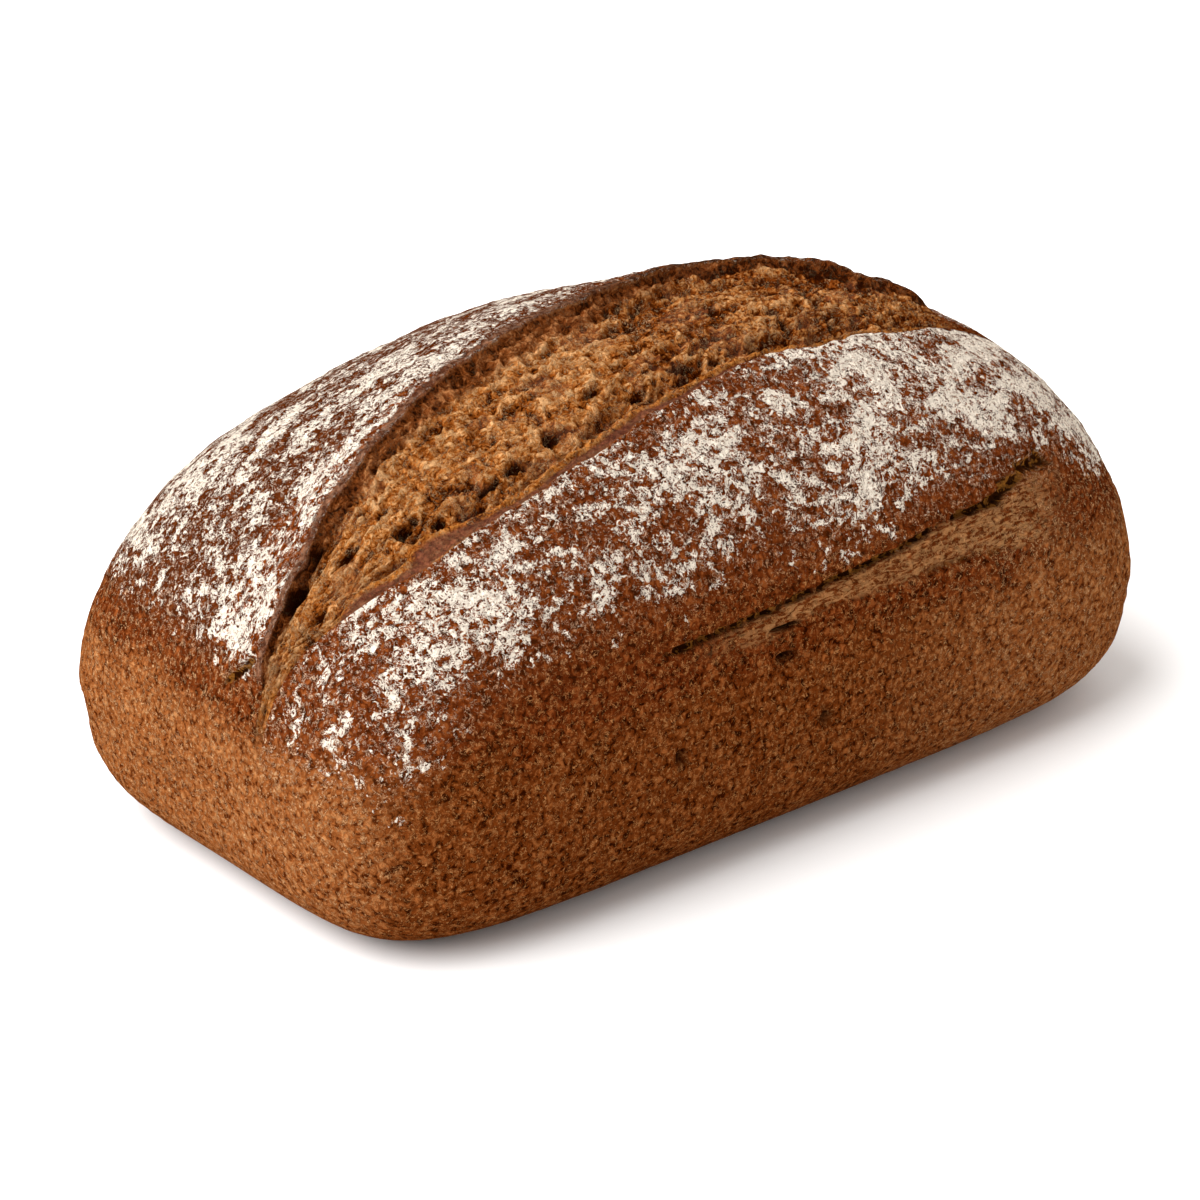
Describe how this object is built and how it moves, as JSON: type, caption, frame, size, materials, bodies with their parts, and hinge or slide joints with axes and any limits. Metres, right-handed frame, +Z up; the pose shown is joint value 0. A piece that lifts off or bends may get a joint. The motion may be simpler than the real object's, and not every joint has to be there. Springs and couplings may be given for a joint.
{
  "type": "tin loaf",
  "caption": "Wholemeal tin loaf with a flat base, rounded floury top crust and a lengthways score torn open under a raised crust lip.",
  "frame": {"origin": "middle of the flat base, at the bottom centre of the bounding box", "axes": "+X along the loaf's length, -Y towards the long side that the score opens to, +Z up"},
  "size_m": [0.226, 0.13, 0.1083],
  "materials": {
    "crust": "matte"
  },
  "bodies": {
    "root": {"loaf": "crust"}
  },
  "joints": []
}
